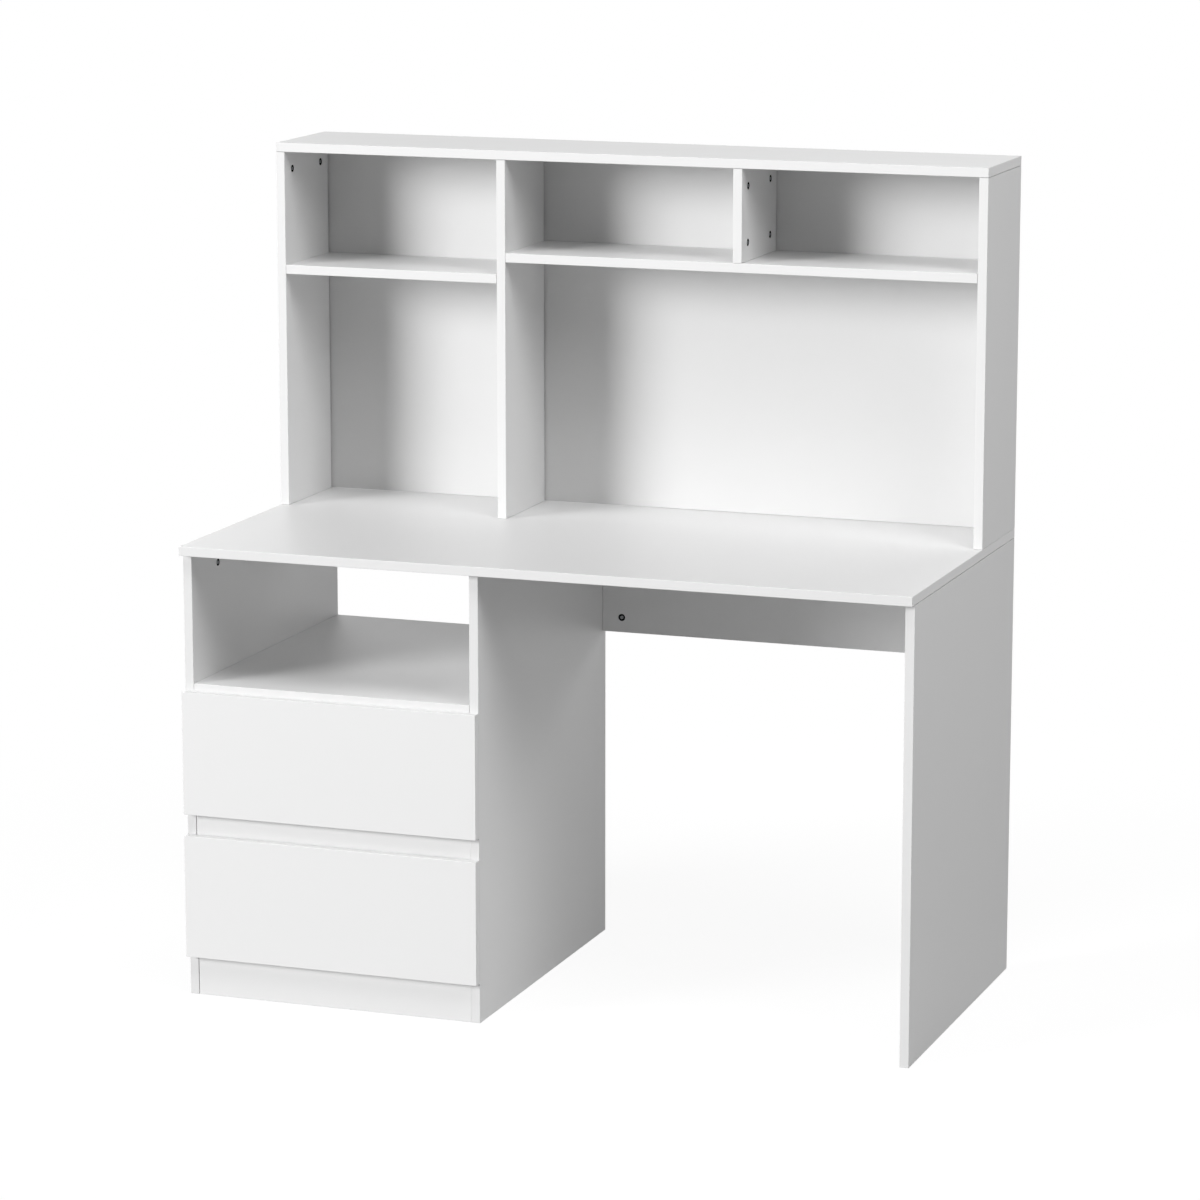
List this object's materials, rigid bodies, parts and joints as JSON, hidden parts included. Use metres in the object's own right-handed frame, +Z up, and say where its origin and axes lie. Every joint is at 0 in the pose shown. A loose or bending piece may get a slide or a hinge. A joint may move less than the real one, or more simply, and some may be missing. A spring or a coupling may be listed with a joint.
{
  "type": "computer desk",
  "caption": "White flat-pack computer desk: a hutch of open bays stands on the desktop, over a pedestal with an open bay and drawers on roller runners.",
  "frame": {"origin": "on the floor, under the middle of the desk", "axes": "+Z up, -Y towards the sitter, +X to the sitter's right, the end panel's side"},
  "size_m": [1.2, 0.6, 1.335],
  "materials": {
    "white_board": "particle board with a white melamine face and white edge band",
    "white_sheet": "thin hardboard, lacquered white",
    "runner_steel": "white epoxy coat",
    "roller_nylon": "natural nylon",
    "cam_zinc": "dark zinc die casting",
    "fixing_steel": "bright zinc plated",
    "dowel_beech": "plain beech"
  },
  "bodies": {
    "desk": {"back_stretcher": "white_board", "desk_cam_bolts": "fixing_steel", "desk_cam_locks": "cam_zinc", "desktop": "white_board", "dowels": "dowel_beech", "drawer_rail": "white_board", "hutch_back_left": "white_sheet", "hutch_back_right": "white_sheet", "hutch_cam_bolts": "fixing_steel", "hutch_cam_locks": "cam_zinc", "hutch_divider": "white_board", "hutch_left_side": "white_board", "hutch_right_side": "white_board", "hutch_screws": "fixing_steel", "hutch_top": "white_board", "left_shelf": "white_board", "lower_left_cabinet_runner": "runner_steel", "lower_right_cabinet_runner": "runner_steel", "pedestal_back": "white_sheet", "pedestal_bottom": "white_board", "pedestal_left_side": "white_board", "pedestal_right_side": "white_board", "pedestal_shelf": "white_board", "plinth": "white_board", "right_end_panel": "white_board", "right_shelf": "white_board", "shelf_divider": "white_board", "upper_left_cabinet_runner": "runner_steel", "upper_right_cabinet_runner": "runner_steel"},
    "upper_drawer": {"upper_drawer_back": "white_board", "upper_drawer_bottom": "white_sheet", "upper_drawer_cam_bolts": "fixing_steel", "upper_drawer_cam_locks": "cam_zinc", "upper_drawer_dowels": "dowel_beech", "upper_drawer_front": "white_board", "upper_drawer_left_runner": "runner_steel", "upper_drawer_left_side": "white_board", "upper_drawer_right_runner": "runner_steel", "upper_drawer_right_side": "white_board", "upper_drawer_screws": "fixing_steel"},
    "lower_drawer": {"lower_drawer_back": "white_board", "lower_drawer_bottom": "white_sheet", "lower_drawer_cam_bolts": "fixing_steel", "lower_drawer_cam_locks": "cam_zinc", "lower_drawer_dowels": "dowel_beech", "lower_drawer_front": "white_board", "lower_drawer_left_runner": "runner_steel", "lower_drawer_left_side": "white_board", "lower_drawer_right_runner": "runner_steel", "lower_drawer_right_side": "white_board", "lower_drawer_screws": "fixing_steel"},
    "lower_drawer_left_roller": {"lower_drawer_left_roller": "roller_nylon"},
    "lower_drawer_right_roller": {"lower_drawer_right_roller": "roller_nylon"},
    "lower_left_cabinet_roller": {"lower_left_cabinet_roller": "roller_nylon"},
    "lower_right_cabinet_roller": {"lower_right_cabinet_roller": "roller_nylon"},
    "upper_drawer_left_roller": {"upper_drawer_left_roller": "roller_nylon"},
    "upper_drawer_right_roller": {"upper_drawer_right_roller": "roller_nylon"},
    "upper_left_cabinet_roller": {"upper_left_cabinet_roller": "roller_nylon"},
    "upper_right_cabinet_roller": {"upper_right_cabinet_roller": "roller_nylon"}
  },
  "joints": [
    {"name": "upper_drawer_slide", "type": "slide", "parent": "desk", "child": "upper_drawer", "axis": [0, -1, 0], "range_m": [0, 0.375]},
    {"name": "upper_left_cabinet_roller_turn", "type": "hinge", "parent": "desk", "child": "upper_left_cabinet_roller", "pos_m": [-0.5804, -0.2687, 0.3463], "axis": [1, 0, 0], "continuous": true},
    {"name": "upper_drawer_left_roller_turn", "type": "hinge", "parent": "upper_drawer", "child": "upper_drawer_left_roller", "pos_m": [-0.5771, 0.201, 0.3436], "axis": [1, 0, 0], "continuous": true},
    {"name": "upper_right_cabinet_roller_turn", "type": "hinge", "parent": "desk", "child": "upper_right_cabinet_roller", "pos_m": [-0.1196, -0.2687, 0.3463], "axis": [1, 0, 0], "continuous": true},
    {"name": "upper_drawer_right_roller_turn", "type": "hinge", "parent": "upper_drawer", "child": "upper_drawer_right_roller", "pos_m": [-0.1229, 0.201, 0.3436], "axis": [1, 0, 0], "continuous": true},
    {"name": "lower_drawer_slide", "type": "slide", "parent": "desk", "child": "lower_drawer", "axis": [0, -1, 0], "range_m": [0, 0.375]},
    {"name": "lower_left_cabinet_roller_turn", "type": "hinge", "parent": "desk", "child": "lower_left_cabinet_roller", "pos_m": [-0.5804, -0.2687, 0.1113], "axis": [1, 0, 0], "continuous": true},
    {"name": "lower_drawer_left_roller_turn", "type": "hinge", "parent": "lower_drawer", "child": "lower_drawer_left_roller", "pos_m": [-0.5771, 0.201, 0.1086], "axis": [1, 0, 0], "continuous": true},
    {"name": "lower_right_cabinet_roller_turn", "type": "hinge", "parent": "desk", "child": "lower_right_cabinet_roller", "pos_m": [-0.1196, -0.2687, 0.1113], "axis": [1, 0, 0], "continuous": true},
    {"name": "lower_drawer_right_roller_turn", "type": "hinge", "parent": "lower_drawer", "child": "lower_drawer_right_roller", "pos_m": [-0.1229, 0.201, 0.1086], "axis": [1, 0, 0], "continuous": true}
  ],
  "couplings": [
    {"joint": "upper_left_cabinet_roller_turn", "follows": "upper_drawer_slide", "rad_per_m": 105.26},
    {"joint": "upper_drawer_left_roller_turn", "follows": "upper_drawer_slide", "rad_per_m": 105.26},
    {"joint": "upper_right_cabinet_roller_turn", "follows": "upper_drawer_slide", "rad_per_m": 105.26},
    {"joint": "upper_drawer_right_roller_turn", "follows": "upper_drawer_slide", "rad_per_m": 105.26},
    {"joint": "lower_left_cabinet_roller_turn", "follows": "lower_drawer_slide", "rad_per_m": 105.26},
    {"joint": "lower_drawer_left_roller_turn", "follows": "lower_drawer_slide", "rad_per_m": 105.26},
    {"joint": "lower_right_cabinet_roller_turn", "follows": "lower_drawer_slide", "rad_per_m": 105.26},
    {"joint": "lower_drawer_right_roller_turn", "follows": "lower_drawer_slide", "rad_per_m": 105.26}
  ]
}
